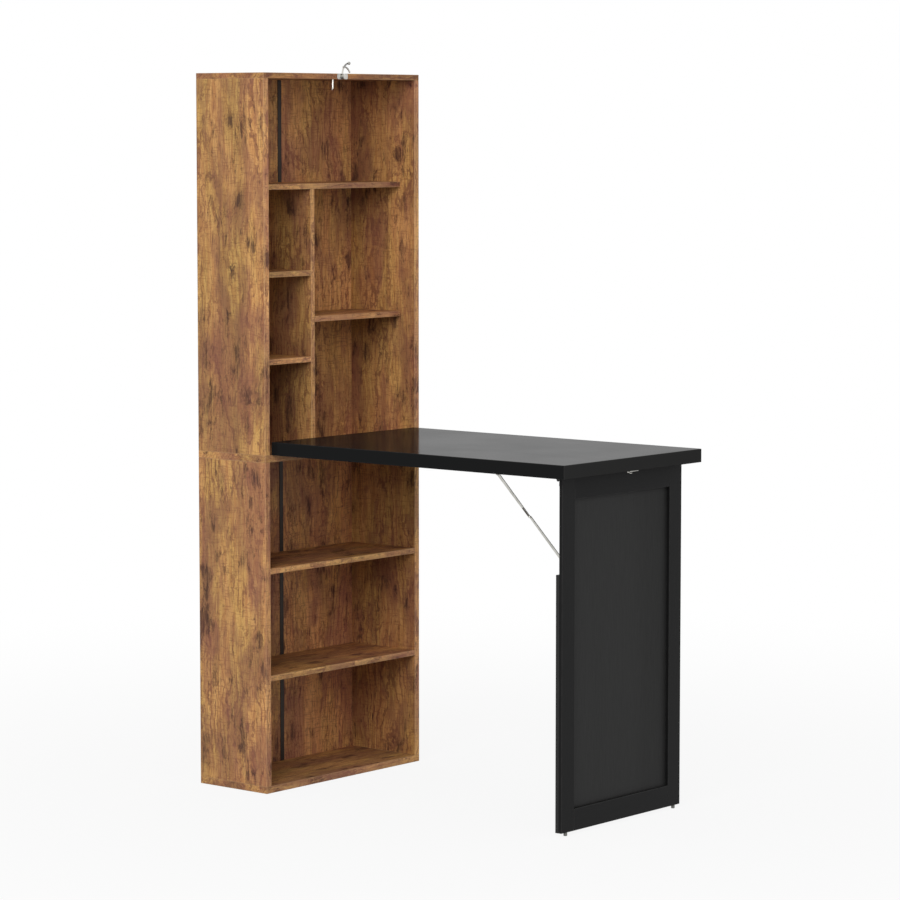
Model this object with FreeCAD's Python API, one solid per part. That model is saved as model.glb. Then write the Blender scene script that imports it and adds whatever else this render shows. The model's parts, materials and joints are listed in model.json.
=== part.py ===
import FreeCAD, Part
import math
import os

# Folding desk: an open bookcase whose drop leaf stands on a folding leg held by two braces.
# Millimetres. The origin is the middle of the bookcase's base, +X its right, -Y its front, +Z up.

# Bookcase
case_width = 500.0
case_depth = 195.0
case_height = 1525.0
side_thickness = 15.0
deck_thickness = 15.0
top_thickness = 12.0
shelf_thickness = 12.0
top_bay_height = 222.0
cubby_width = 177.0
cubby_height = 173.5
side_bay_height = 273.0
low_bay_height = 225.0
middle_bay_height = 217.0
upper_shelf_setback = 42.0
arris = 0.6

# Back panels in grooves, joined by an H strip
back_thickness = 3.0
back_inset = 6.0
groove_depth = 5.0
groove_side_fit = 0.15
groove_end_gap = 0.5
strip_width = 11.5
strip_flange = 1.0
strip_web = 2.0
strip_fit = 0.1
shelf_rear_gap = 0.3

# Dowels between the boards
dowel_radius = 3.0
dowel_length = 28.0
dowel_in_face = 8.0
dowel_fit = 0.05
dowel_end_gap = 0.5
dowel_inset = 30.0
dowel_stagger = 22.0

# Drop leaf and its stop
desk_height = 750.0
leaf_thickness = 28.0
leaf_side_gap = 4.0
leaf_end_gap = 3.0
leaf_rear_gap = 0.3
leaf_edge_radius = 1.2
stop_wire_radius = 2.2
stop_drop = 17.0
stop_bend_radius = 4.5
stop_turn = 60.0
stop_tail = 4.0
stop_hold = 8.0
stop_gap = 0.4

# Folding leg
leg_side_inset = 31.0
leg_setback = 28.0
leg_top_gap = 0.5
leg_fold_gap = 1.0
frame_thickness = 8.0
stile_width = 41.0
top_rail_width = 46.0
bottom_rail_width = 44.5
notch_width = 36.0
notch_height = 195.0
glide_height = 7.0
glide_radius = 3.8
glide_edge = 1.0
glide_inset = 18.0
nail_radius = 1.2
nail_length = 12.0

# Hinges
leaf_hinge_offset = 3.0
leaf_hinge_length = 64.0
leaf_hinge_wing = 20.0
leaf_hinge_sheet = 1.2
leaf_hinge_pin = 1.2
leaf_hinge_knuckles = 5
leaf_hinge_inset = 60.0
leg_hinge_offset = 4.5
leg_hinge_length = 32.0
leg_hinge_wing = 13.0
leg_hinge_sheet = 1.5
leg_hinge_pin = 2.0
leg_hinge_knuckles = 3
leg_hinge_side_gap = 1.5
barrel_gap = 0.4
knuckle_gap = 0.4
pin_fit = 0.05

# Braces
brace_reach = 168.5
brace_inset = 16.0
bar_thickness = 2.0
bar_gap = 0.4
upper_bar_end = 3.0
lower_bar_end = 2.6
bar_tip = 2.1
catch_start = 3.6
catch_length = 20.0
catch_radius = 1.1
catch_thickness = 0.8
ear_gap = 0.3
ear_thickness = 2.0
ear_radius = 2.8
bracket_length = 24.0
bracket_width = 15.0
bracket_sheet = 1.5
bracket_screw_offset = 7.0
brace_pin_radius = 1.4
brace_pin_head_radius = 2.4
knee_rivet_radius = 1.1
knee_rivet_head_radius = 2.0
rivet_head_height = 1.0

# Screws
screw_head_radius = 2.6
screw_head_height = 1.5
screw_radius = 1.3
screw_length = 11.0
short_screw_length = 6.5
screw_tip = 2.0
screw_fit = 0.05
screw_end_gap = 0.3

# Crescent latch, set out from its hub on the front edge of the top board
latch_sheet = 1.2
latch_left = 20.0
latch_right = 14.0
latch_height = 12.0
latch_corner = 4.0
latch_screw_left = 14.0
latch_screw_right = 9.5
hub_radius = 6.0
hub_thickness = 3.6
hub_gap = 0.2
pivot_radius = 2.0
pivot_head_radius = 4.0
pivot_head_height = 1.2
cam_gap = 0.8
cam_thickness = 2.0
cam_inner_radius = 18.5
cam_outer_radius = 21.5
cam_start_angle = 24.0
cam_end_angle = 100.0
arm_width = 3.2
arm_root_radius = 5.8
arm_root_angle = 149.0
arm_middle_radius = 18.0
arm_middle_angle = 95.0
arm_tip_radius = 31.4
arm_tip_angle = 63.5
knob_radius = 3.4
knob_forward = 0.7

# Keeper under the free end of the leaf
keeper_half_width = 14.5
keeper_sheet = 1.2
keeper_edge_gap = 1.0
keeper_length = 16.0
keeper_screw_x = 10.0
keeper_screw_edge = 6.0
hook_left = 7.0
hook_right = -1.5
hook_sheet = 1.5
hook_cam_gap = 0.6
hook_lip_gap = 0.5
hook_lip_length = 7.6

X = FreeCAD.Vector(1, 0, 0)
Y = FreeCAD.Vector(0, 1, 0)
Z = FreeCAD.Vector(0, 0, 1)

# Planes and lines that several pieces share
case_right = case_width / 2
case_left = -case_right
case_front = -case_depth / 2
case_rear = case_depth / 2
inner_right = case_right - side_thickness
inner_left = -inner_right
bottom_top = deck_thickness
mid_top = desk_height - leaf_thickness
mid_bottom = mid_top - deck_thickness
top_under = case_height - top_thickness
back_rear = case_rear - back_inset
back_front = back_rear - back_thickness
shelf_rear = back_front - strip_fit - strip_flange - shelf_rear_gap
upper_front = case_front + upper_shelf_setback
upper_shelf_top = top_under - top_bay_height
upper_shelf_under = upper_shelf_top - shelf_thickness
divider_left = inner_left + cubby_width
divider_right = divider_left + shelf_thickness
leaf_right = inner_right - leaf_side_gap
leaf_left = -leaf_right
leaf_under = mid_top
leaf_rear = case_front - leaf_rear_gap
leaf_length = top_under - leaf_end_gap - mid_top - 2 * leaf_hinge_offset
leaf_front = leaf_rear - leaf_length
leaf_axis_y = leaf_rear + leaf_hinge_offset
leaf_axis_z = leaf_under + leaf_hinge_offset
leg_right = leaf_right - leg_side_inset
leg_left = -leg_right
leg_front = leaf_front + leg_setback
frame_back = leg_front + frame_thickness
leg_axis_y = frame_back + leg_hinge_offset
leg_axis_z = leaf_under - leg_hinge_offset
leg_top = leaf_under - leg_top_gap
leg_bottom = glide_height
leg_panel_thickness = 2 * leg_hinge_offset - leg_fold_gap
panel_rear = frame_back + leg_panel_thickness
ear_near = bar_gap / 2 + bar_thickness + ear_gap
ear_far = ear_near + ear_thickness
hub_z = case_height - top_thickness / 2
cam_back = latch_sheet + cam_gap
cam_front = cam_back + cam_thickness
hub_front = cam_back + hub_thickness


def box(x0, x1, y0, y1, z0, z1):
    return Part.makeBox(x1 - x0, y1 - y0, z1 - z0, FreeCAD.Vector(x0, y0, z0))


def span(corner, opposite):
    """The box between two opposite corners."""
    low = [min(pair) for pair in zip(corner, opposite)]
    high = [max(pair) for pair in zip(corner, opposite)]
    return box(low[0], high[0], low[1], high[1], low[2], high[2])


def rod(radius, start, end):
    return Part.makeCylinder(radius, (end - start).Length, start, end - start)


def board(x0, x1, y0, y1, z0, z1):
    """A panel with its sharp arrises taken off."""
    plain = box(x0, x1, y0, y1, z0, z1)
    return plain.makeChamfer(arris, plain.Edges)


def joined(pieces):
    return pieces[0].multiFuse(pieces[1:]).removeSplitter()


def bored(piece, holes):
    """The piece less those holes that reach it."""
    near = [hole for hole in holes if hole.BoundBox.intersect(piece.BoundBox)]
    return piece.cut(near) if near else piece


def outline(points):
    closed = points + points[:1]
    return [Part.makeLine(start, end) for start, end in zip(closed, closed[1:])]


def turned(profile, at, direction):
    """A profile in the XZ plane revolved about Z, then set with its Z axis along a direction."""
    solid = Part.Face(Part.Wire(profile)).revolve(FreeCAD.Vector(), Z, 360)
    solid.Placement = FreeCAD.Placement(at, FreeCAD.Rotation(Z, direction))
    return solid


def screw(at, direction, length, fit=0.0, end_gap=0.0):
    """A countersunk wood screw with its head flush at a point, or the hole that it fits."""
    end = length + end_gap
    points = [(0, 0), (screw_head_radius + fit, 0), (screw_radius + fit, screw_head_height),
              (screw_radius + fit, end - screw_tip), (0, end)]
    return turned(outline([FreeCAD.Vector(r, 0, z) for r, z in points]), at, direction)


def screw_and_hole(at, direction, length):
    return screw(at, direction, length), screw(at, direction, length, screw_fit, screw_end_gap)


def rivet(at, direction, radius, grip, head_radius, head_height):
    """A domed rivet whose head seats at a point and whose shank runs along a direction."""
    dome_radius = (head_radius ** 2 + head_height ** 2) / (2 * head_height)
    half_turn = math.asin(head_radius / dome_radius) / 2
    crown = FreeCAD.Vector(0, 0, -head_height)
    shoulder = crown + FreeCAD.Vector(math.sin(half_turn), 0, 1 - math.cos(half_turn)) * dome_radius
    rim = FreeCAD.Vector(head_radius, 0, 0)
    neck = FreeCAD.Vector(radius, 0, 0)
    foot = FreeCAD.Vector(radius, 0, grip)
    end = FreeCAD.Vector(0, 0, grip)
    dome = Part.Arc(crown, shoulder, rim).toShape()
    lines = [Part.makeLine(a, b) for a, b in ((rim, neck), (neck, foot), (foot, end), (end, crown))]
    return turned([dome] + lines, at, direction)


def link(start, end, start_radius, end_radius, x0, x1):
    """A flat bar in an upright plane: two round ends joined by their common tangents."""
    run = end - start
    heading = math.atan2(run.z, run.y)
    spread = math.acos((start_radius - end_radius) / run.Length)

    def rim(centre, radius, angle):
        return FreeCAD.Vector(x0, centre.y + radius * math.cos(angle), centre.z + radius * math.sin(angle))

    start_high = rim(start, start_radius, heading + spread)
    start_low = rim(start, start_radius, heading - spread)
    end_high = rim(end, end_radius, heading + spread)
    end_low = rim(end, end_radius, heading - spread)
    edges = [Part.Arc(start_high, rim(start, start_radius, heading + math.pi), start_low).toShape(),
             Part.makeLine(start_low, end_low),
             Part.Arc(end_low, rim(end, end_radius, heading), end_high).toShape(),
             Part.makeLine(end_high, start_high)]
    return Part.Face(Part.Wire(edges)).extrude(X * (x1 - x0))


def save(name, pieces):
    solids = [solid for piece in pieces for solid in piece.Solids]
    shape = solids[0] if len(solids) == 1 else Part.makeCompound(solids)
    shape.exportStep(os.path.join("parts", name + ".step"))


def dowel(at, direction):
    """A dowel across a joint at a point, its short end along a direction, and the bore for it."""
    in_end = dowel_length - dowel_in_face
    peg = rod(dowel_radius, at - direction * in_end, at + direction * dowel_in_face)
    bore = rod(dowel_radius + dowel_fit, at - direction * (in_end + dowel_end_gap),
               at + direction * (dowel_in_face + dowel_end_gap))
    return peg, bore


def dowel_pair(x, z, direction, front, rear, inset):
    """Two dowels in one joint, near the front and the rear edges."""
    return [dowel(FreeCAD.Vector(x, y, z), direction) for y in (front + inset, rear - inset)]


def shelf_places():
    """Each shelf's left and right ends, front edge and top."""
    lower_top = bottom_top + low_bay_height + shelf_thickness
    middle_top = lower_top + middle_bay_height + shelf_thickness
    cubby_top = upper_shelf_under - cubby_height
    return {
        "lower_shelf": (inner_left, inner_right, case_front, lower_top),
        "middle_shelf": (inner_left, inner_right, case_front, middle_top),
        "upper_shelf": (inner_left, inner_right, upper_front, upper_shelf_top),
        "cubby_shelf_high": (inner_left, divider_left, upper_front, cubby_top),
        "cubby_shelf_low": (inner_left, divider_left, upper_front, cubby_top - shelf_thickness - cubby_height),
        "side_shelf": (divider_right, inner_right, upper_front, upper_shelf_under - side_bay_height),
    }


def make_dowels():
    """Saves the dowels and returns their bores."""
    frame = []
    staggered = dowel_inset + dowel_stagger
    for x in (case_left + side_thickness / 2, case_right - side_thickness / 2):
        frame += dowel_pair(x, bottom_top, -Z, case_front, case_rear, dowel_inset)
        frame += dowel_pair(x, mid_bottom, Z, case_front, case_rear, dowel_inset)
        frame += dowel_pair(x, mid_top, -Z, case_front, case_rear, staggered)
        frame += dowel_pair(x, top_under, Z, case_front, case_rear, staggered)
    shelf = []
    for left, right, front, top in shelf_places().values():
        z = top - shelf_thickness / 2
        shelf += dowel_pair(left, z, -X, front, shelf_rear, dowel_inset)
        shelf += dowel_pair(right, z, X, front, shelf_rear, dowel_inset)
    divider_x = (divider_left + divider_right) / 2
    shelf += dowel_pair(divider_x, mid_top, -Z, upper_front, shelf_rear, dowel_inset)
    shelf += dowel_pair(divider_x, upper_shelf_under, Z, upper_front, shelf_rear, dowel_inset)
    save("frame_dowels", [peg for peg, bore in frame])
    save("shelf_dowels", [peg for peg, bore in shelf])
    return [bore for peg, bore in frame + shelf]


def make_case(holes):
    """Boards and shelves, cut for their grooves, dowels and screws."""
    reach = inner_right + groove_depth
    groove_front = back_front - groove_side_fit
    groove_rear = back_rear + groove_side_fit
    grooves = [box(-reach, reach, groove_front, groove_rear, face - groove_depth, face + groove_depth)
               for face in (bottom_top, mid_bottom, mid_top, top_under)]
    grooves += [box(x - groove_depth, x + groove_depth, groove_front, groove_rear, bottom_top, top_under)
                for x in (inner_left, inner_right)]
    cuts = holes + grooves
    for name, low, high in (("bottom_board", 0.0, bottom_top), ("mid_board", mid_bottom, mid_top),
                            ("top_board", top_under, case_height)):
        save(name, [bored(board(case_left, case_right, case_front, case_rear, low, high), cuts)])
    for tier, low, high in (("lower", bottom_top, mid_bottom), ("upper", mid_top, top_under)):
        for side, left, right in (("left", case_left, inner_left), ("right", inner_right, case_right)):
            save(tier + "_side_" + side, [bored(board(left, right, case_front, case_rear, low, high), cuts)])
        make_back(tier, low, high)
    for name, (left, right, front, top) in shelf_places().items():
        save(name, [bored(board(left, right, front, shelf_rear, top - shelf_thickness, top), holes)])
    divider = board(divider_left, divider_right, upper_front, shelf_rear, mid_top, upper_shelf_under)
    save("divider", [bored(divider, holes)])


def make_back(tier, low, high):
    """Two thin panels of one tier and the H strip that holds their meeting edges."""
    seat = groove_depth - groove_end_gap
    outer = inner_right + seat
    meeting = strip_web / 2 + strip_fit
    save("back_" + tier + "_left", [box(-outer, -meeting, back_front, back_rear, low - seat, high + seat)])
    save("back_" + tier + "_right", [box(meeting, outer, back_front, back_rear, low - seat, high + seat)])
    half = strip_width / 2
    foot = low + groove_end_gap
    head = high - groove_end_gap
    front = back_front - strip_fit
    rear = back_rear + strip_fit
    strip = [box(-strip_web / 2, strip_web / 2, front, rear, foot, head),
             box(-half, half, front - strip_flange, front, foot, head),
             box(-half, half, rear, rear + strip_flange, foot, head)]
    save("back_strip_" + tier, [joined(strip)])


def hinge_wing(centre, away, out, first, size):
    """One wing of a butt hinge: a plate that runs away from the barrel, and every second knuckle."""
    length, knuckles, offset, wing, sheet, pin = size
    pitch = length / knuckles

    def at(x, along, above):
        return centre + X * x + away * along + out * (above - offset)

    pieces = [span(at(-length / 2, offset, 0), at(length / 2, wing, sheet))]
    for knuckle in range(first, knuckles, 2):
        x0 = knuckle * pitch - (length - knuckle_gap) / 2
        x1 = x0 + pitch - knuckle_gap
        pieces.append(span(at(x0, 0, 0), at(x1, offset, sheet)))
        pieces.append(rod(offset - barrel_gap, centre + X * x0, centre + X * x1))
    return joined(pieces).cut(rod(pin + pin_fit, centre - X * length, centre + X * length))


def wing_screws(centre, away, out, size, fastener_length):
    """Two screws through a wing, with their holes."""
    length, knuckles, offset, wing, sheet, pin = size
    middle = centre + away * ((offset + wing) / 2) + out * (sheet - offset)
    return [screw_and_hole(middle + X * x, -out, fastener_length) for x in (-length / 4, length / 4)]


def hinge_pin(centre, size):
    return rod(size[-1], centre - X * (size[0] / 2), centre + X * (size[0] / 2))


def make_hinges():
    """Saves both hinge pairs and returns the screws in the case, the leaf and the leg."""
    leaf_size = (leaf_hinge_length, leaf_hinge_knuckles, leaf_hinge_offset, leaf_hinge_wing,
                 leaf_hinge_sheet, leaf_hinge_pin)
    leg_size = (leg_hinge_length, leg_hinge_knuckles, leg_hinge_offset, leg_hinge_wing,
                leg_hinge_sheet, leg_hinge_pin)
    leaf_x = leaf_right - leaf_hinge_inset
    leg_x = leg_right - leg_hinge_side_gap - leg_hinge_length / 2
    leaf_centres = [FreeCAD.Vector(x, leaf_axis_y, leaf_axis_z) for x in (-leaf_x, leaf_x)]
    leg_centres = [FreeCAD.Vector(x, leg_axis_y, leg_axis_z) for x in (-leg_x, leg_x)]
    screws = {"case": [], "leaf": [], "leg": []}
    for name, body, centres, away, out, first, size, fastener_length in (
            ("leaf_hinge_case_wings", "case", leaf_centres, Y, Z, 0, leaf_size, screw_length),
            ("leaf_hinge_leaf_wings", "leaf", leaf_centres, Z, Y, 1, leaf_size, screw_length),
            ("leg_hinge_leaf_wings", "leaf", leg_centres, Y, -Z, 0, leg_size, screw_length),
            ("leg_hinge_leg_wings", "leg", leg_centres, -Z, Y, 1, leg_size, short_screw_length)):
        wings = []
        for centre in centres:
            pairs = wing_screws(centre, away, out, size, fastener_length)
            wings.append(hinge_wing(centre, away, out, first, size).cut([hole for fastener, hole in pairs]))
            screws[body] += pairs
        save(name, wings)
    save("leaf_hinge_pins", [hinge_pin(centre, leaf_size) for centre in leaf_centres])
    save("leg_hinge_pins", [hinge_pin(centre, leg_size) for centre in leg_centres])
    return screws


def bracket(pivot, along, out, side, fastener_length):
    """An angle bracket: a plate on a surface, and an ear that carries a brace's end pin.

    out points from the surface to the pivot, and side is the way the plate runs from its ear.
    """
    foot = pivot - out * leg_hinge_offset
    near = X * side * ear_near
    far = X * side * ear_far
    plate = span(foot + near - along * (bracket_length / 2),
                 foot + near + X * side * bracket_width + along * (bracket_length / 2) + out * bracket_sheet)
    ear = span(foot + near - along * ear_radius, pivot + far + along * ear_radius)
    eye = rod(ear_radius, pivot + near, pivot + far)
    hole = rod(brace_pin_radius + pin_fit, pivot, pivot + far + X * side)
    middle = foot + X * side * ((ear_far + ear_near + bracket_width) / 2) + out * bracket_sheet
    screws = [screw_and_hole(middle + along * offset, -out, fastener_length)
              for offset in (-bracket_screw_offset, bracket_screw_offset)]
    return joined([plate, ear, eye]).cut([hole] + [gap for fastener, gap in screws]), screws


def make_brace(name, plane_x, outward, screws):
    """One brace: an upper bar outside its middle plane, a lower bar inside it, and their brackets."""
    leaf_pivot = FreeCAD.Vector(plane_x, frame_back + brace_reach, leg_axis_z)
    leg_pivot = FreeCAD.Vector(plane_x, leg_axis_y, leaf_under - brace_reach)
    knee = (leaf_pivot + leg_pivot) * 0.5
    pins = []
    for half, pivot, end_radius, side in (("upper", leaf_pivot, upper_bar_end, outward),
                                          ("lower", leg_pivot, lower_bar_end, -outward)):
        near = plane_x + side * bar_gap / 2
        far = near + side * bar_thickness
        bar = link(pivot, knee, end_radius, bar_tip, near, far)
        pin_hole = rod(brace_pin_radius + pin_fit, pivot - X * ear_far, pivot + X * ear_far)
        rivet_hole = rod(knee_rivet_radius, knee - X * ear_far, knee + X * ear_far)
        save("brace_" + half + "_bar_" + name, [bar.cut([pin_hole, rivet_hole])])
        knee_seat = FreeCAD.Vector(far, knee.y, knee.z)
        save("brace_" + half + "_rivet_" + name, [rivet(knee_seat, X * -side, knee_rivet_radius, bar_thickness,
                                                       knee_rivet_head_radius, rivet_head_height)])
        pin_seat = pivot + X * side * ear_far
        pins.append(rivet(pin_seat, X * -side, brace_pin_radius, ear_far - bar_gap / 2,
                          brace_pin_head_radius, rivet_head_height))
    outer_face = plane_x + outward * (bar_gap / 2 + bar_thickness)
    run = (leaf_pivot - knee).normalize()
    catch = link(knee + run * catch_start, knee + run * (catch_start + catch_length),
                 catch_radius, catch_radius, outer_face, outer_face + outward * catch_thickness)
    save("brace_catch_" + name, [catch])
    leaf_plate, leaf_pairs = bracket(leaf_pivot, Y, -Z, outward, screw_length)
    leg_plate, leg_pairs = bracket(leg_pivot, Z, Y, -outward, short_screw_length)
    save("brace_leaf_bracket_" + name, [leaf_plate])
    save("brace_leg_bracket_" + name, [leg_plate])
    screws["leaf"] += leaf_pairs
    screws["leg"] += leg_pairs
    return pins


def hub_point(x, z, depth):
    """A point of the latch from the hub's axis, a depth in front of the bookcase."""
    return FreeCAD.Vector(x, case_front - depth, hub_z + z)


def polar(radius, angle, depth):
    turn = math.radians(angle)
    return hub_point(radius * math.cos(turn), radius * math.sin(turn), depth)


def ribbon(points, width, thickness):
    """A flat strip of even width along the arc through three points, thick towards the front."""
    circle = Part.Arc(*points).toShape().Curve

    def shifted(distance):
        scale = (circle.Radius + distance) / circle.Radius
        return [circle.Center + (point - circle.Center) * scale for point in points]

    outer = shifted(width / 2)
    inner = shifted(-width / 2)
    edges = [Part.Arc(*outer).toShape(), Part.makeLine(outer[2], inner[2]),
             Part.Arc(*inner[::-1]).toShape(), Part.makeLine(inner[0], outer[0])]
    return Part.Face(Part.Wire(edges)).extrude(Y * -thickness)


def make_latch():
    """Base plate, turning lever with its crescent, and the pivot through both. Returns the screws."""
    plate = span(hub_point(-latch_left, -latch_height / 2, 0),
                 hub_point(latch_right, latch_height / 2, latch_sheet))
    corners = [edge for edge in plate.Edges if edge.BoundBox.YLength > latch_sheet / 2]
    boss = rod(hub_radius, hub_point(0, 0, 0), hub_point(0, 0, cam_back - hub_gap))
    base = joined([plate.makeFillet(latch_corner, corners), boss])
    screws = [screw_and_hole(hub_point(x, 0, latch_sheet), Y, screw_length)
              for x in (-latch_screw_left, latch_screw_right)]
    head_seat = hub_point(0, 0, hub_front + hub_gap)
    bore = rod(pivot_radius + pin_fit, hub_point(0, 0, 0), head_seat)
    save("latch_base", [base.cut([bore] + [hole for fastener, hole in screws])])
    save("latch_pivot", [rivet(head_seat, Y, pivot_radius, hub_front + hub_gap,
                               pivot_head_radius, pivot_head_height)])
    hub = rod(hub_radius, hub_point(0, 0, cam_back), hub_point(0, 0, hub_front))
    cam_radius = (cam_inner_radius + cam_outer_radius) / 2
    cam_angles = (cam_start_angle, (cam_start_angle + cam_end_angle) / 2, cam_end_angle)
    cam = ribbon([polar(cam_radius, angle, cam_back) for angle in cam_angles],
                 cam_outer_radius - cam_inner_radius, cam_thickness)
    arm = ribbon([polar(arm_root_radius, arm_root_angle, cam_back),
                  polar(arm_middle_radius, arm_middle_angle, cam_back),
                  polar(arm_tip_radius, arm_tip_angle, cam_back)], arm_width, cam_thickness)
    knob = Part.makeSphere(knob_radius, polar(arm_tip_radius, arm_tip_angle, cam_front + knob_forward))
    save("latch_lever", [joined([hub, cam, arm, knob]).cut(bore)])
    return screws


def make_keeper():
    """A plate under the leaf's end with a hook that the turned crescent slides behind. Returns its screws."""
    hub_above_end = top_thickness / 2 + leaf_end_gap
    edge = leaf_front + keeper_edge_gap
    plate_under = leaf_under - keeper_sheet
    plate = box(-keeper_half_width, keeper_half_width, edge, edge + keeper_length, plate_under, leaf_under)
    web_front = leaf_front + cam_outer_radius - hub_above_end + hook_cam_gap
    web_rear = web_front + hook_sheet
    lip_top = leaf_under + leaf_rear_gap - cam_front - hook_lip_gap
    lip_under = lip_top - hook_sheet
    web = box(-hook_left, -hook_right, web_front, web_rear, lip_under, plate_under)
    lip = box(-hook_left, -hook_right, web_rear - hook_lip_length, web_rear, lip_under, lip_top)
    screws = [screw_and_hole(FreeCAD.Vector(x, leaf_front + keeper_screw_edge, plate_under), Z, screw_length)
              for x in (-keeper_screw_x, keeper_screw_x)]
    save("keeper", [joined([plate, web, lip]).cut([hole for fastener, hole in screws])])
    return screws


def make_leaf_stop():
    """A bent wire under the top board that the closed leaf's face meets. Returns its hole."""
    y = leaf_rear + leaf_thickness + stop_gap + stop_wire_radius
    top = FreeCAD.Vector(0, y, top_under + stop_hold)
    bend = FreeCAD.Vector(0, y, top_under - stop_drop)

    def on_bend(angle):
        turn = math.radians(angle)
        return bend + (Y * (1 - math.cos(turn)) - Z * math.sin(turn)) * stop_bend_radius

    turn = math.radians(stop_turn)
    tail = on_bend(stop_turn) + (Y * math.sin(turn) - Z * math.cos(turn)) * stop_tail
    path = Part.Wire([Part.makeLine(top, bend),
                      Part.Arc(bend, on_bend(stop_turn / 2), on_bend(stop_turn)).toShape(),
                      Part.makeLine(on_bend(stop_turn), tail)])
    section = Part.Wire(Part.makeCircle(stop_wire_radius, top, -Z))
    save("leaf_stop", [path.makePipeShell([section], True, False)])
    return rod(stop_wire_radius + pin_fit, FreeCAD.Vector(0, y, top_under), top + Z * screw_end_gap)


def make_leaf(holes):
    leaf = box(leaf_left, leaf_right, leaf_front, leaf_rear, leaf_under, leaf_under + leaf_thickness)
    save("desk_leaf", [bored(leaf.makeFillet(leaf_edge_radius, leaf.Edges), holes)])


def make_leg(holes):
    """Frame of two stiles and two rails, and a back panel notched for the hinges and braces."""
    inner = leg_right - stile_width
    for name, left, right, low, high in (
            ("leg_stile_left", leg_left, -inner, leg_bottom, leg_top),
            ("leg_stile_right", inner, leg_right, leg_bottom, leg_top),
            ("leg_top_rail", -inner, inner, leg_top - top_rail_width, leg_top),
            ("leg_bottom_rail", -inner, inner, leg_bottom, leg_bottom + bottom_rail_width)):
        save(name, [bored(board(left, right, leg_front, frame_back, low, high), holes)])
    notch_under = leaf_under - notch_height
    narrow = leg_right - notch_width
    corners = [(leg_left, leg_bottom), (leg_right, leg_bottom), (leg_right, notch_under),
               (narrow, notch_under), (narrow, leg_axis_z), (-narrow, leg_axis_z),
               (-narrow, notch_under), (leg_left, notch_under)]
    face = Part.Face(Part.Wire(outline([FreeCAD.Vector(x, frame_back, z) for x, z in corners])))
    panel = face.extrude(Y * leg_panel_thickness)
    rear_edges = [edge for edge in panel.Edges if edge.BoundBox.YMin > panel_rear - arris]
    save("leg_panel", [bored(panel.makeChamfer(arris, rear_edges), holes)])


def make_glides():
    """Two nailed glides under the leg's stiles. Returns their nail holes."""
    glides = []
    holes = []
    for x in (leg_left + glide_inset, leg_right - glide_inset):
        foot = FreeCAD.Vector(x, (leg_front + frame_back) / 2, 0)
        disc = Part.makeCylinder(glide_radius, glide_height, foot)
        rim = [edge for edge in disc.Edges if edge.BoundBox.ZMax < glide_height / 2]
        top = foot + Z * glide_height
        nail = rod(nail_radius, top, top + Z * nail_length)
        glides.append(joined([disc.makeFillet(glide_edge, rim), nail]))
        holes.append(rod(nail_radius + screw_fit, top, top + Z * (nail_length + screw_end_gap)))
    save("leg_glides", glides)
    return holes


os.makedirs("parts", exist_ok=True)
case_holes = make_dowels()
all_screws = make_hinges()
all_screws["case"] += make_latch()
all_screws["leaf"] += make_keeper()
brace_x = leg_right - brace_inset
left_pins = make_brace("left", -brace_x, -1, all_screws)
right_pins = make_brace("right", brace_x, 1, all_screws)
save("brace_leaf_pins", [left_pins[0], right_pins[0]])
save("brace_leg_pins", [left_pins[1], right_pins[1]])
for body_name, pairs_here in all_screws.items():
    save(body_name + "_screws", [fastener for fastener, hole in pairs_here])
case_holes.append(make_leaf_stop())
make_case(case_holes + [hole for fastener, hole in all_screws["case"]])
make_leaf([hole for fastener, hole in all_screws["leaf"]])
make_leg(make_glides() + [hole for fastener, hole in all_screws["leg"]])
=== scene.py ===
# %% [markdown]
# # A folding desk in rustic wood and black
# The real piece is a tall open bookcase with a black leaf that folds down from its front to make
# a desk. The shapes all come from the CAD model, so this lesson is about the other half of the
# work: the finishes, the light and the camera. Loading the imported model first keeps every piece
# where the CAD put it.

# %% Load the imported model
import json
import math

import bpy
from mathutils import Matrix, Vector


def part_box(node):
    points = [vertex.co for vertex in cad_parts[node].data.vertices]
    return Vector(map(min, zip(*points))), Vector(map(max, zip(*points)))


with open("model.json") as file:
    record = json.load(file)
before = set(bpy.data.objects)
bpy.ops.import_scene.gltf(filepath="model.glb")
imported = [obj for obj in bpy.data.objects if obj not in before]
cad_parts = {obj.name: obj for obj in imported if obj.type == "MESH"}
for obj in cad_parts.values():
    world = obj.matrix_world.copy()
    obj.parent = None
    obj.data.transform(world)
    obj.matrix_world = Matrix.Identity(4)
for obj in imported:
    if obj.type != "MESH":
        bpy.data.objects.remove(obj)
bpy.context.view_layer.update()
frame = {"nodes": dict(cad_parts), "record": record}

solids = frame["nodes"]

# %% [markdown]
# ## Where the camera stands
# The picture was taken from the left front, a long way off with a long lens, and from a little
# below the top of the bookcase. A camera could be turned by hand until the picture fits, but
# these numbers came from matching the corners of the boards, so they are written down as they
# are. The direction of view makes the camera's three axes.

# %% Camera
def add_object(name, data):
    thing = bpy.data.objects.new(name, data)
    bpy.context.scene.collection.objects.link(thing)
    return thing


camera_spot = (-5.5331, -5.0121, 1.4205)
view_yaw, view_dip = math.radians(50.159), 0.0949
level = math.cos(view_dip)
forward = Vector((math.sin(view_yaw) * level, math.cos(view_yaw) * level, -math.sin(view_dip)))
rightward = Vector((math.cos(view_yaw), -math.sin(view_yaw), 0.0))
upward = rightward.cross(forward)
axes = Matrix((rightward, upward, -forward)).transposed().to_4x4()
lens = bpy.data.cameras.new("photo_camera")
lens.lens, lens.sensor_width = 137.55, 36.0
camera = add_object("photo_camera", lens)
camera.matrix_world = Matrix.Translation(camera_spot) @ axes
bpy.context.scene.camera = camera
print("camera looks along", [round(v, 3) for v in forward])

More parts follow.
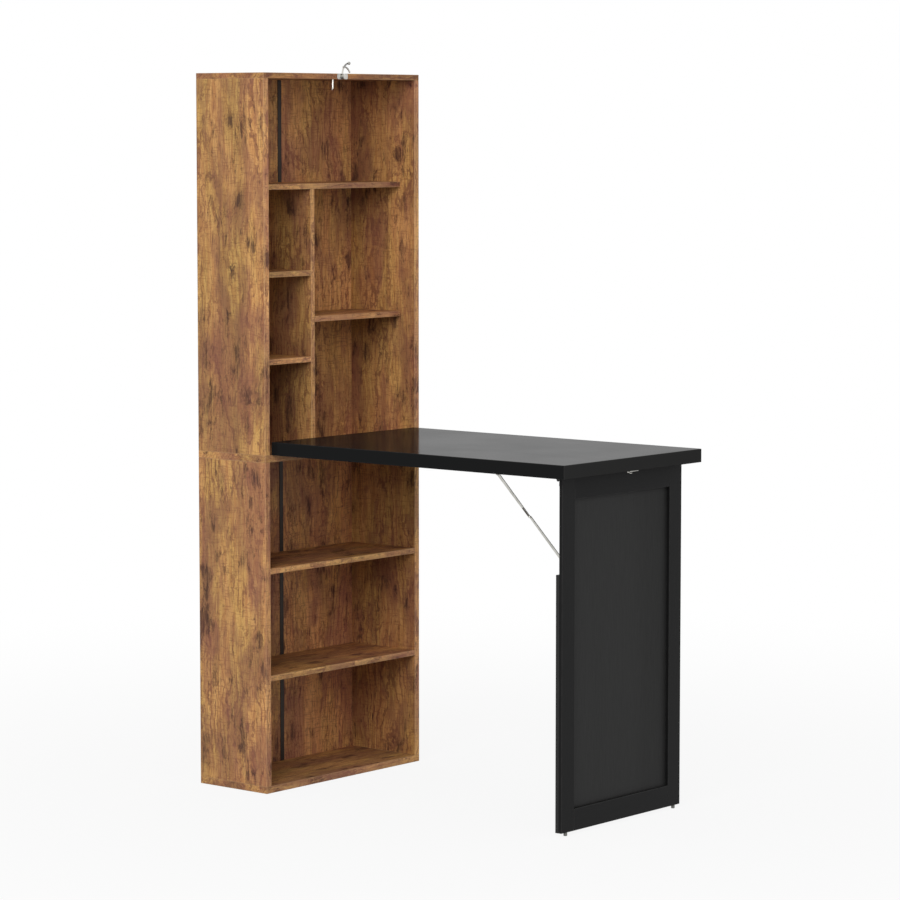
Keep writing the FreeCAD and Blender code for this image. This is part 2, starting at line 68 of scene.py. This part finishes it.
# %% [markdown]
# ## Small helpers for wiring nodes
# Every finish below is made of shader nodes, and most of them are sums and blends of a few
# noises. Nodes can be placed by hand in the editor, but in a script it reads better when each
# usual step is one short call. Each takes numbers or sockets and hands back the socket to go on
# from. The one used most is between: it rises softly from 0 at one value to 1 at another, which
# cuts a mask out of a noise.

# %% Helpers that do sums
def feed(tree, socket, value):
    if isinstance(value, bpy.types.NodeSocket):
        tree.links.new(value, socket)
    else:
        socket.default_value = value


def worked_out(tree, kind, operation, values):
    node = tree.nodes.new(kind)
    node.operation = operation
    for socket, value in zip(node.inputs, values):
        feed(tree, socket, value)
    return node.outputs


def calc(tree, operation, *values):
    return worked_out(tree, "ShaderNodeMath", operation, values)[0]


def shift(tree, operation, *values):
    return worked_out(tree, "ShaderNodeVectorMath", operation, values)[0]


def between(tree, value, low, high, start=0.0, end=1.0):
    node = tree.nodes.new("ShaderNodeMapRange")
    node.interpolation_type = "SMOOTHSTEP"
    for socket, number in zip(node.inputs[:5], (value, low, high, start, end)):
        feed(tree, socket, number)
    return node.outputs[0]


def off_half(tree, value):
    return calc(tree, "ABSOLUTE", calc(tree, "SUBTRACT", value, 0.5))


def parted(tree, vector):
    node = tree.nodes.new("ShaderNodeSeparateXYZ")
    tree.links.new(vector, node.inputs[0])
    return node.outputs


print("helpers for sums are ready")

# %% Helpers for colours and noise
# The Mix node has sockets for every kind of data, and these are the numbers of the colour ones.
mix_mask, mix_under, mix_over, mix_result = 0, 6, 7, 2


def tint(tree, mask, under, over, way="MIX"):
    node = tree.nodes.new("ShaderNodeMix")
    node.data_type, node.blend_type = "RGBA", way
    for number, value in ((mix_mask, mask), (mix_under, under), (mix_over, over)):
        feed(tree, node.inputs[number], value)
    return node.outputs[mix_result]


def layer(tree, mask, share, under, over):
    return tint(tree, calc(tree, "MULTIPLY", mask, share), under, over)


def toned(tree, colour, tone):
    return tint(tree, 1.0, colour, tone, "MULTIPLY")


def cloud(tree, place, stretch, scale, detail=2.0, rough=0.5, warp=0.0):
    node = tree.nodes.new("ShaderNodeTexNoise")
    tree.links.new(shift(tree, "MULTIPLY", place, stretch), node.inputs["Vector"])
    settings = {"Scale": scale, "Detail": detail, "Roughness": rough, "Distortion": warp}
    for label, value in settings.items():
        node.inputs[label].default_value = value
    return node.outputs[0]


print("helpers for colours and noise are ready")

# %% Helper that starts a group
def new_group(name, takes, gives):
    group = bpy.data.node_groups.new(name, "ShaderNodeTree")
    for label, kind in takes:
        group.interface.new_socket(label, in_out="INPUT", socket_type="NodeSocket" + kind)
    for label, kind in gives:
        group.interface.new_socket(label, in_out="OUTPUT", socket_type="NodeSocket" + kind)
    source, sink = group.nodes.new("NodeGroupInput"), group.nodes.new("NodeGroupOutput")
    print("group", name, "takes", [t[0] for t in takes], "gives", [g[0] for g in gives])
    return group, source.outputs, sink.inputs


# %% [markdown]
# ## The rustic grain
# The boards are chipboard under a printed wood film: golden planks with wavy year rings,
# plum-brown clouds, dark worn patches, knots and short cracks, all running along the board. A
# photograph of such a film would be the quick way, but a pattern made from noise has no edges,
# works on every face of a solid and can be cut differently for each board. The grain runs along Z
# in the group, and each board turns and moves its own place to suit. Most of the noises are drawn
# out along the grain: the smaller streaky's first number is, the longer are the streaks.

# %% Group for the rustic grain, with its knots
grain, took, gave = new_group(
    "rustic_grain", [("Place", "Vector")],
    [("Color", "Color"), ("Roughness", "Float"), ("Height", "Float")])

sway_reach = (0.034, 0.034, 0.02)
sway = cloud(grain, took["Place"], (1.0, 1.0, 0.4), 16.0, detail=3.0).node.outputs["Color"]
place = shift(grain, "MULTIPLY_ADD", sway, sway_reach, took["Place"])


def streaky(along, scale, detail=2.0, rough=0.5, warp=0.0):
    return cloud(grain, place, (1.0, 1.0, along), scale, detail, rough, warp)


knots_per_metre, knot_raggedness = 13.0, 0.42
cells = grain.nodes.new("ShaderNodeTexVoronoi")
grain.links.new(shift(grain, "MULTIPLY", place, (1.0, 1.0, 0.55)), cells.inputs["Vector"])
cells.inputs["Scale"].default_value = knots_per_metre
ragged = streaky(0.4, 110.0, detail=4.0, rough=0.72)
knot_gap = calc(grain, "MULTIPLY_ADD", ragged, knot_raggedness, cells.outputs["Distance"])
knot_reach = between(grain, knot_gap, 0.62, 0.16)
knot_eye = between(grain, knot_gap, 0.405, 0.30)
print("one knot to about", round(1000 / knots_per_metre), "mm of board")

# %% Year rings
bend_at_knots, ring_jitter, ring_turns = 0.10, 0.06, 170.0
swell = streaky(0.10, 7.0, detail=1.0, rough=0.4)
jitter = streaky(0.55, 75.0, detail=3.0, rough=0.6)
ring_field = calc(grain, "MULTIPLY_ADD", knot_reach, bend_at_knots, swell)
ring_field = calc(grain, "MULTIPLY_ADD", jitter, ring_jitter, ring_field)
ring_wave = calc(grain, "SINE", calc(grain, "MULTIPLY", ring_field, ring_turns))
ring_zone = between(grain, streaky(0.5, 11.0, detail=1.0), 0.40, 0.54)
ring_zone = calc(grain, "MAXIMUM", knot_reach, ring_zone)
rings = calc(grain, "MULTIPLY", between(grain, ring_wave, 0.45, 1.0), ring_zone)
print("year rings", rings.node.name)

# %% Fibres, pores and saw marks
fibres = streaky(0.05, 190.0, detail=4.0, rough=0.65)
streaks = between(grain, streaky(0.06, 300.0, detail=3.0, rough=0.6), 0.53, 0.68)
hairs = between(grain, streaky(0.04, 800.0, rough=0.6), 0.5, 0.72)
pores = between(grain, streaky(0.07, 420.0, detail=1.0), 0.62, 0.72)
flecks = between(grain, streaky(0.3, 230.0, detail=3.0, rough=0.65), 0.58, 0.68)
saw_marks = between(grain, cloud(grain, place, (0.12, 0.12, 1.0), 330.0, rough=0.6), 0.5, 0.68)
print("fibres", fibres.node.name, "pores", pores.node.name)

# %% Stains, worn patches and cracks
stain = between(grain, streaky(0.42, 9.0, detail=3.0, rough=0.62), 0.45, 0.60)
smaller_stain = between(grain, streaky(0.36, 24.0, detail=3.0, rough=0.62), 0.49, 0.61)
wear_noise = streaky(0.45, 25.0, detail=6.0, rough=0.7)
worn = between(grain, calc(grain, "MULTIPLY_ADD", stain, 0.05, wear_noise), 0.575, 0.665)
worn = calc(grain, "MULTIPLY", worn, between(grain, fibres, 0.36, 0.6, 0.25, 1.0))
crack_noise = streaky(0.07, 60.0, detail=3.0, rough=0.55, warp=0.5)
crack_line = between(grain, off_half(grain, crack_noise), 0.018, 0.004)
cracks = calc(grain, "MULTIPLY", crack_line, between(grain, wear_noise, 0.52, 0.62))
print("worn patches", worn.node.name, "cracks", cracks.node.name)

# %% Planks of the print
plank_width = 0.083
along_x, along_y, _ = parted(grain, took["Place"])
across = calc(grain, "DIVIDE", calc(grain, "ADD", along_x, along_y), plank_width)
plank = grain.nodes.new("ShaderNodeTexWhiteNoise")
plank.noise_dimensions = "1D"
grain.links.new(calc(grain, "FLOOR", across), plank.inputs["W"])
plank_tone = between(grain, plank.outputs["Value"], 0.0, 1.0, 0.88, 1.08)
seam = between(grain, off_half(grain, calc(grain, "FRACT", across)), 0.487, 0.499)
print("planks are", round(1000 * plank_width), "mm wide")

# %% [markdown]
# ## Colours of the grain
# A print like this is laid down in layers, light ones first. One colour ramp could do for a plain
# grain, but not for marks that lie over each other. So there is a golden ground, then each mask
# with its share of a darker shade. At the end the whole drifts a little between an olive and a
# rosy cast, and each plank gets its own brightness.

# %% Colour of the grain
golden, tawny = (0.625, 0.354, 0.12, 1.0), (0.46, 0.225, 0.076, 1.0)
umber, charred = (0.195, 0.079, 0.039, 1.0), (0.052, 0.022, 0.016, 1.0)
plum = (0.2, 0.077, 0.052, 1.0)
olive_cast, rosy_cast = (0.99, 1.03, 0.96, 1.0), (1.02, 0.965, 1.03, 1.0)

eye_share = between(grain, fibres, 0.36, 0.58, 0.22, 0.8)
layers = (
    (streaks, 0.5, umber), (saw_marks, 0.42, umber), (rings, 0.7, umber), (hairs, 0.3, umber),
    (stain, 0.5, plum), (smaller_stain, 0.42, plum), (flecks, 0.5, charred),
    (knot_reach, 0.4, umber), (pores, 0.4, charred), (worn, 0.8, charred), (cracks, 0.75, charred),
    (knot_eye, eye_share, charred), (seam, 0.3, umber))
colour = tint(grain, between(grain, fibres, 0.36, 0.64), golden, tawny)
for mask, share, shade in layers:
    colour = layer(grain, mask, share, colour, shade)
cast = between(grain, streaky(0.2, 20.0), 0.38, 0.62)
colour = toned(grain, colour, tint(grain, cast, olive_cast, rosy_cast))
feed(grain, gave["Color"], toned(grain, colour, plank_tone))
print(len(layers), "layers of colour")

# %% Roughness and height of the grain
smooth, fibre_roughness, worn_roughness = 0.40, 0.22, 0.12
rough = calc(grain, "MULTIPLY_ADD", fibres, fibre_roughness, smooth)
feed(grain, gave["Roughness"], calc(grain, "MULTIPLY_ADD", worn, worn_roughness, rough))
dips = ((rings, 0.25), (fibres, 0.5), (pores, 0.5), (cracks, 0.8), (knot_eye, 0.5), (seam, 0.4))
height = 1.0
for mask, dip in dips:
    height = calc(grain, "MULTIPLY_ADD", mask, -dip, height)
feed(grain, gave["Height"], height)
print("rustic_grain holds", len(grain.nodes), "nodes")

# %% [markdown]
# ## Edges that have been handled, with a painted highlight
# On the real boards the corners are a shade lighter, where the film is bent round or the edge strip
# has worn, and the same lighter edges are also a painted highlight where light would catch them.
# A bevel or a painted mask could show that. Each of these boards is nearly a box, though, so the
# group measures how far a point is from the nearest faces of its box. The middle one of the three
# distances is how far it is from an edge. The same distances tell which points are on the front
# face, where a board has its edge strip.

# %% Group for rubbed edges
edges, took, gave = new_group(
    "rubbed_and_highlit_edges", [("Place", "Vector"), ("Low", "Vector"), ("High", "Vector"), ("Width", "Float")],
    [("Edge", "Float"), ("Front", "Float")])
strip_full, strip_gone = 0.0003, 0.0007
from_low = shift(edges, "SUBTRACT", took["Place"], took["Low"])
feed(edges, gave["Front"], between(edges, parted(edges, from_low)[1], strip_gone, strip_full))
inside = shift(edges, "MINIMUM", from_low, shift(edges, "SUBTRACT", took["High"], took["Place"]))
gap_x, gap_y, gap_z = parted(edges, inside)
smaller = calc(edges, "MINIMUM", gap_x, gap_y)
larger = calc(edges, "MAXIMUM", gap_x, gap_y)
middle = calc(edges, "MAXIMUM", smaller, calc(edges, "MINIMUM", larger, gap_z))
patchy = cloud(edges, took["Place"], (1.0, 1.0, 1.0), 55.0, detail=3.0, rough=0.6)
reach = calc(edges, "MULTIPLY", took["Width"], calc(edges, "MULTIPLY_ADD", patchy, 1.6, 0.1))
feed(edges, gave["Edge"], between(edges, middle, reach, 0.0))
print("rubbed_and_highlit_edges holds", len(edges.nodes), "nodes")

# %% [markdown]
# ## A fine mottle for smooth finishes
# Black laminate, moulded plastic, paint and plating look flat from afar, but close up each has a
# fine skin: a slight orange peel, and places where hands have left it duller. One group gives
# both as plain values, and each finish says how large its skin is. A finish with a grain of its
# own stretches the place before it goes in.

# %% Group for the fine mottle
mottle, took, gave = new_group(
    "fine_mottle", [("Place", "Vector"), ("Smear", "Float"), ("Peel", "Float")],
    [("Smear", "Float"), ("Peel", "Float")])
for label, detail in (("Smear", 4.0), ("Peel", 2.0)):
    noise = mottle.nodes.new("ShaderNodeTexNoise")
    mottle.links.new(took["Place"], noise.inputs["Vector"])
    mottle.links.new(took[label], noise.inputs["Scale"])
    noise.inputs["Detail"].default_value = detail
    feed(mottle, gave[label], noise.outputs[0])
print("fine_mottle holds", len(mottle.nodes), "nodes")

# %% [markdown]
# ## Putting a finish on a solid
# A finish is one Principled shader. What changes over the surface comes from the groups, and what
# is the same all over, such as the specular level, is set straight on the shader. The helpers
# here start such a finish and lay it on a solid, without touching the solid's mesh.

# %% Helpers that start a finish and lay it on a solid
def new_finish(name, **plain):
    finish = bpy.data.materials.new(name)
    finish.use_nodes = True
    shader = finish.node_tree.nodes["Principled BSDF"]
    for label, value in plain.items():
        shader.inputs[label.replace("_", " ")].default_value = value
    where = finish.node_tree.nodes.new("ShaderNodeTexCoord").outputs["Object"]
    return finish, finish.node_tree, shader.inputs, where


def use_group(tree, group, **values):
    node = tree.nodes.new("ShaderNodeGroup")
    node.node_tree = group
    for label, value in values.items():
        feed(tree, node.inputs[label], value)
    return node.outputs


def edges_of(name, tree, where, width):
    low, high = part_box(name)
    return use_group(tree, edges, Place=where, Low=low, High=high, Width=width)


def bump(tree, height, depth, strength):
    node = tree.nodes.new("ShaderNodeBump")
    node.inputs["Strength"].default_value, node.inputs["Distance"].default_value = strength, depth
    tree.links.new(height, node.inputs["Height"])
    return node.outputs[0]


def lay(finish, *names):
    for name in names:
        for slot in solids[name].material_slots:
            slot.material = finish


print("helpers for finishes are ready")

# %% [markdown]
# ## The bookcase's boards
# Sides, divider and back panels have their grain standing up, and the shelves and the three long
# boards have it along their length. Each board is cut from another part of the print, so each
# gets a finish of its own: the same group, turned, moved and toned. Each board's tone is partly the
# print's own change from board to board and partly painted light and shade: the back panels and
# the lower left side are painted lighter, and the right sides, shelves and top board darker. The
# edge strip along a board's front is a paler run of the same print, but the top board and the thin
# back panels have none and keep one tone. The specular level is low, because a satin print shows
# its own colour more than the room.

# %% Recipe for one board
rubbed_and_highlit = (0.45, 0.27, 0.135, 1.0)


def board_finish(name, turned, cut, tone, strip):
    finish, tree, shader, where = new_finish("rustic_wood_" + name, Specular_IOR_Level=0.2)
    laid = tree.nodes.new("ShaderNodeMapping")
    tree.links.new(where, laid.inputs["Vector"])
    laid.inputs["Location"].default_value = cut
    laid.inputs["Rotation"].default_value = (0.0, math.pi / 2 if turned else 0.0, 0.0)
    film = use_group(tree, grain, Place=laid.outputs[0])
    edge = edges_of(name, tree, where, width=0.0022)
    colour = toned(tree, film["Color"], tint(tree, edge["Front"], tone, strip))
    # Lighter edges: partly handled wear, partly a painted highlight along the edges.
    feed(tree, shader["Base Color"], layer(tree, edge["Edge"], 0.5, colour, rubbed_and_highlit))
    feed(tree, shader["Roughness"], film["Roughness"])
    feed(tree, shader["Normal"], bump(tree, film["Height"], depth=0.0005, strength=0.6))
    lay(finish, name)


print("recipe for boards is ready")

# %% One finish for each board
upright = """lower_side_left lower_side_right upper_side_left upper_side_right divider
back_lower_left back_lower_right back_upper_left back_upper_right""".split()
lying = """bottom_board mid_board top_board lower_shelf middle_shelf upper_shelf
cubby_shelf_low cubby_shelf_high side_shelf""".split()
plain_tone, strip_tone = (1.0, 1.0, 1.02, 1.0), (1.3, 1.32, 1.45, 1.0)
# Per-board tone: partly the print's own, partly painted light (back panels, lower left side) and
# painted shade (right sides, shelves, top board).
print_and_light_tones = {
    "upper_side_left": (0.96, 0.97, 0.97, 1.0), "lower_side_left": (1.1, 1.11, 1.12, 1.0),
    "upper_side_right": (0.91, 0.86, 0.88, 1.0), "lower_side_right": (0.76, 0.71, 0.72, 1.0),
    "back_upper": (1.33, 1.3, 1.4, 1.0), "back_lower": (1.32, 1.25, 1.38, 1.0),
    "shelf": (0.92, 0.85, 0.85, 1.0), "top_board": (0.8, 0.75, 0.8, 1.0)}
step_x, step_y, step_z, rows = 0.37, 0.61, 1.13, 5
for count, name in enumerate(upright + lying):
    tone = next((print_and_light_tones[part] for part in print_and_light_tones if part in name), plain_tone)
    strip = tone if name.startswith(("back", "top")) else strip_tone
    cut = (step_x * count, step_y * (count % rows), step_z * count)
    board_finish(name, name in lying, cut, tone, strip)
print(len(upright), "boards with standing grain,", len(lying), "with lying grain")

# %% [markdown]
# ## The black leaf
# The desk top is a black laminate under a thin clear film that mirrors the bookcase when it is
# seen nearly edge on. A glossy black would mirror too much from above, so the film is the
# shader's coat at about a third of its weight, a little uneven from handling. The edge strips
# have hardly any of it, so the mask is how near a point is to the top. The strip across the
# leaf's end is a shade lighter than those along its sides.

# %% Black leaf
leaf_black, end_black = (0.0085, 0.0088, 0.009, 1.0), (0.0238, 0.0238, 0.0235, 1.0)
rubbed_and_highlit_black = (0.03, 0.029, 0.028, 1.0)
film_on_strips, film_handled, film_clean = 0.06, 0.34, 0.38
leaf_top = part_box("desk_leaf")[1][2]
film_starts, film_full = leaf_top - 0.0008, leaf_top - 0.0003

finish, tree, shader, where = new_finish("black_top", Specular_IOR_Level=0.0, Coat_Roughness=0.12)
skin = use_group(tree, mottle, Place=where, Smear=7.0, Peel=650.0)
edge = edges_of("desk_leaf", tree, where, width=0.002)
black = tint(tree, edge["Front"], leaf_black, end_black)
# Lighter edges on the leaf: partly handled wear, partly a painted highlight along the edges.
feed(tree, shader["Base Color"], layer(tree, edge["Edge"], 0.5, black, rubbed_and_highlit_black))
feed(tree, shader["Roughness"], between(tree, skin["Smear"], 0.3, 0.7, 0.285, 0.315))
top_film = between(tree, skin["Smear"], 0.3, 0.7, film_clean, film_handled)
film = between(tree, parted(tree, where)[2], film_starts, film_full, film_on_strips, top_film)
feed(tree, shader["Coat Weight"], film)
feed(tree, shader["Normal"], bump(tree, skin["Peel"], depth=0.00003, strength=0.25))
lay(finish, "desk_leaf")
print("black_top on desk_leaf")

# %% [markdown]
# ## The black leg
# The leg is a frame of two stiles and two rails round a panel, in a flatter black than the leaf.
# Seen close, such a film has a faint embossed grain, so the mottle is stretched along each piece.
# The panel is a shade lighter, which is a painted satin sheen.

# %% Black frame
frame_black, panel_black_with_sheen = (0.0055, 0.0055, 0.0056), (0.0175, 0.0175, 0.0173)
worn_and_highlit_edge_grey, paler = (0.05, 0.049, 0.048, 1.0), 1.7
along_rail, along_stile = (0.04, 1.0, 1.0), (1.0, 1.0, 0.04)


def frame_finish(name, black, stretch):
    finish, tree, shader, where = new_finish("black_frame_" + name, Specular_IOR_Level=0.09)
    drawn_out = shift(tree, "MULTIPLY", where, stretch)
    skin = use_group(tree, mottle, Place=drawn_out, Smear=9.0, Peel=700.0)
    edge = edges_of(name, tree, where, width=0.0018)["Edge"]
    shade = tint(tree, skin["Peel"], (*black, 1.0), (*(paler * v for v in black), 1.0))
    # Grey edges on the frame: partly handled wear, partly a painted highlight along the edges.
    feed(tree, shader["Base Color"], layer(tree, edge, 0.45, shade, worn_and_highlit_edge_grey))
    feed(tree, shader["Roughness"], between(tree, skin["Smear"], 0.3, 0.7, 0.38, 0.52))
    feed(tree, shader["Normal"], bump(tree, skin["Peel"], depth=0.0002, strength=0.5))
    lay(finish, name)


for name in ("leg_stile_left", "leg_stile_right"):
    frame_finish(name, frame_black, along_stile)
for name in ("leg_top_rail", "leg_bottom_rail"):
    frame_finish(name, frame_black, along_rail)
# The panel's lighter black is a painted sheen.
frame_finish("leg_panel", panel_black_with_sheen, along_stile)
print("black frame on five pieces")

# %% [markdown]
# ## Plastic, steel and dowels
# The H strips and catches are moulded black plastic with a fine grain, and the glides under the
# leg are grey. Hinges and brackets are steel under black paint, which has worn to grey in places.
# Bars, rivets and screws are plated with zinc, a soft grey that is mottled when seen close, and
# the latch is bright plate, with dark and light patches in its colour that are a painted reflection.
# The dowels in the joints are plain beech. All of them take the fine mottle, and the record's
# slots say which solids get which.

# %% Recipe for plain finishes
def in_slot(slot):
    return [row["node"] for row in frame["record"]["subparts"] if row["material_slot"] == slot]


def skin_finish(name, names, dark, light, rough, peel, depth, **plain):
    finish, tree, shader, where = new_finish(name, **plain)
    dark, light = (*dark, 1.0), (*light, 1.0)
    skin = use_group(tree, mottle, Place=where, Smear=60.0, Peel=peel)
    feed(tree, shader["Base Color"], tint(tree, between(tree, skin["Smear"], 0.35, 0.68), dark, light))
    feed(tree, shader["Roughness"], between(tree, skin["Smear"], 0.25, 0.75, *rough))
    feed(tree, shader["Normal"], bump(tree, skin["Peel"], depth, strength=0.4))
    lay(finish, *names)
    print(name, "on", len(names), "solids")


# %% Plastic, steel and beech
skin_finish("black_plastic", in_slot("black_plastic"),
            dark=(0.026, 0.018, 0.0135), light=(0.04, 0.028, 0.021),
            rough=(0.4, 0.55), peel=900.0, depth=0.0002, Specular_IOR_Level=0.3)
skin_finish("grey_plastic", ["leg_glides"], dark=(0.13, 0.13, 0.12), light=(0.19, 0.19, 0.175),
            rough=(0.4, 0.55), peel=900.0, depth=0.0002, Specular_IOR_Level=0.3)
skin_finish("black_steel", in_slot("black_steel"),
            dark=(0.012, 0.012, 0.012), light=(0.03, 0.03, 0.03),
            rough=(0.32, 0.5), peel=700.0, depth=0.0001, Specular_IOR_Level=0.4)
skin_finish("zinc_steel", in_slot("zinc_steel"), dark=(0.46, 0.455, 0.42), light=(0.62, 0.61, 0.57),
            rough=(0.24, 0.4), peel=500.0, depth=0.0001, Metallic=1.0)
# Chrome: bright plate, and the wide swing between its dark and light grey is a painted reflection.
skin_finish("chrome", in_slot("chrome"), dark=(0.27, 0.265, 0.25), light=(0.66, 0.64, 0.6),
            rough=(0.08, 0.2), peel=400.0, depth=0.00005, Metallic=1.0)
skin_finish("beech", in_slot("beech"), dark=(0.50, 0.34, 0.19), light=(0.64, 0.47, 0.29),
            rough=(0.5, 0.65), peel=800.0, depth=0.0002)

# %% [markdown]
# ## The bent wire
# The stop under the top board is drawn wire, brighter and smoother than the latch beside it. It
# shares the latch's slot in the record, so its own finish is laid on last. Wire this thin shows
# no peel, so it has no bump.

# %% Bright wire
finish, tree, shader, where = new_finish("bright_wire", Metallic=1.0)
smear = use_group(tree, mottle, Place=where, Smear=60.0)["Smear"]
feed(tree, shader["Base Color"], tint(tree, smear, (0.86, 0.83, 0.76, 1.0), (0.97, 0.95, 0.9, 1.0)))
feed(tree, shader["Roughness"], between(tree, smear, 0.25, 0.75, 0.1, 0.22))
lay(finish, "leaf_stop")
print("bright_wire on leaf_stop")

# %% [markdown]
# ## Floor, light and background
# The photograph has a plain white ground. The floor is pale grey paint that the camera sees almost
# white, so that a soft shadow still shows where the desk stands. More light would whiten it too,
# but would bleach the desk. One large soft lamp at the left front gives the side its brightness,
# and a dim world fills the shadows. Where the camera or a shiny surface looks straight at the
# world, it is full white instead.

# %% Helpers that show white where it is looked at
def seen_directly(tree):
    path = tree.nodes.new("ShaderNodeLightPath").outputs
    return calc(tree, "MAXIMUM", path["Is Camera Ray"],
                calc(tree, "MAXIMUM", path["Is Glossy Ray"], path["Is Transmission Ray"]))


def show_white(tree, share, lit, white, sink):
    blend = tree.nodes.new("ShaderNodeMixShader")
    for socket, source in zip(blend.inputs, (share, lit.outputs[0], white.outputs[0])):
        tree.links.new(source, socket)
    tree.links.new(blend.outputs[0], tree.nodes[sink].inputs["Surface"])


print("helpers for white are ready")

# %% Floor
half, floor_drop = 40.0, 0.0005
ground = bpy.data.meshes.new("floor")
corners = [(-half, -half, 0), (half, -half, 0), (half, half, 0), (-half, half, 0)]
ground.from_pydata(corners, [], [(0, 1, 2, 3)])
floor = add_object("floor", ground)
floor.location.z = -floor_drop
print("floor", 2 * half, "m square")

# %% Paint on the floor
desk_middle, near, far = (0.0, -0.4, 0.0), 0.4, 3.0
white_near, white_far = 0.90, 1.0
paint = bpy.data.materials.new("floor_paint")
paint.use_nodes = True
tree = paint.node_tree
shader = tree.nodes["Principled BSDF"]
shader.inputs["Base Color"].default_value = (0.55, 0.55, 0.55, 1.0)
shader.inputs["Roughness"].default_value = 0.9
shader.inputs["Specular IOR Level"].default_value = 0.0
where = tree.nodes.new("ShaderNodeTexCoord").outputs["Object"]
away = worked_out(tree, "ShaderNodeVectorMath", "DISTANCE", (where, desk_middle))["Value"]
whiter = between(tree, away, near, far, white_near, white_far)
share = calc(tree, "MULTIPLY", seen_directly(tree), whiter)
show_white(tree, share, shader, tree.nodes.new("ShaderNodeEmission"), "Material Output")
ground.materials.append(paint)
print("the camera sees", white_near, "to", white_far, "of it as white")

# %% Lamp
lamp_spot, lamp_aim = Vector((-5.0, -2.7, 3.3)), Vector((0.0, -0.2, 0.75))
lamp = bpy.data.lights.new("left_lamp", "AREA")
lamp.shape, lamp.size, lamp.energy = "SQUARE", 3.6, 235.0
holder = add_object("left_lamp", lamp)
holder.location = lamp_spot
holder.rotation_euler = (lamp_aim - lamp_spot).to_track_quat("-Z", "Y").to_euler()
print("left_lamp", lamp.energy, "W at", [round(v, 2) for v in lamp_spot])

# %% World
room_fill, plain_white = 0.62, (1.0, 1.0, 1.0, 1.0)
world = bpy.data.worlds.new("studio")
bpy.context.scene.world = world
world.use_nodes = True
tree = world.node_tree
room, backdrop = tree.nodes["Background"], tree.nodes.new("ShaderNodeBackground")
for node, strength in ((room, room_fill), (backdrop, 1.0)):
    node.inputs["Color"].default_value, node.inputs["Strength"].default_value = plain_white, strength
show_white(tree, seen_directly(tree), room, backdrop, "World Output")
bpy.context.scene.view_settings.view_transform = "Standard"
print("world fills at", room_fill)
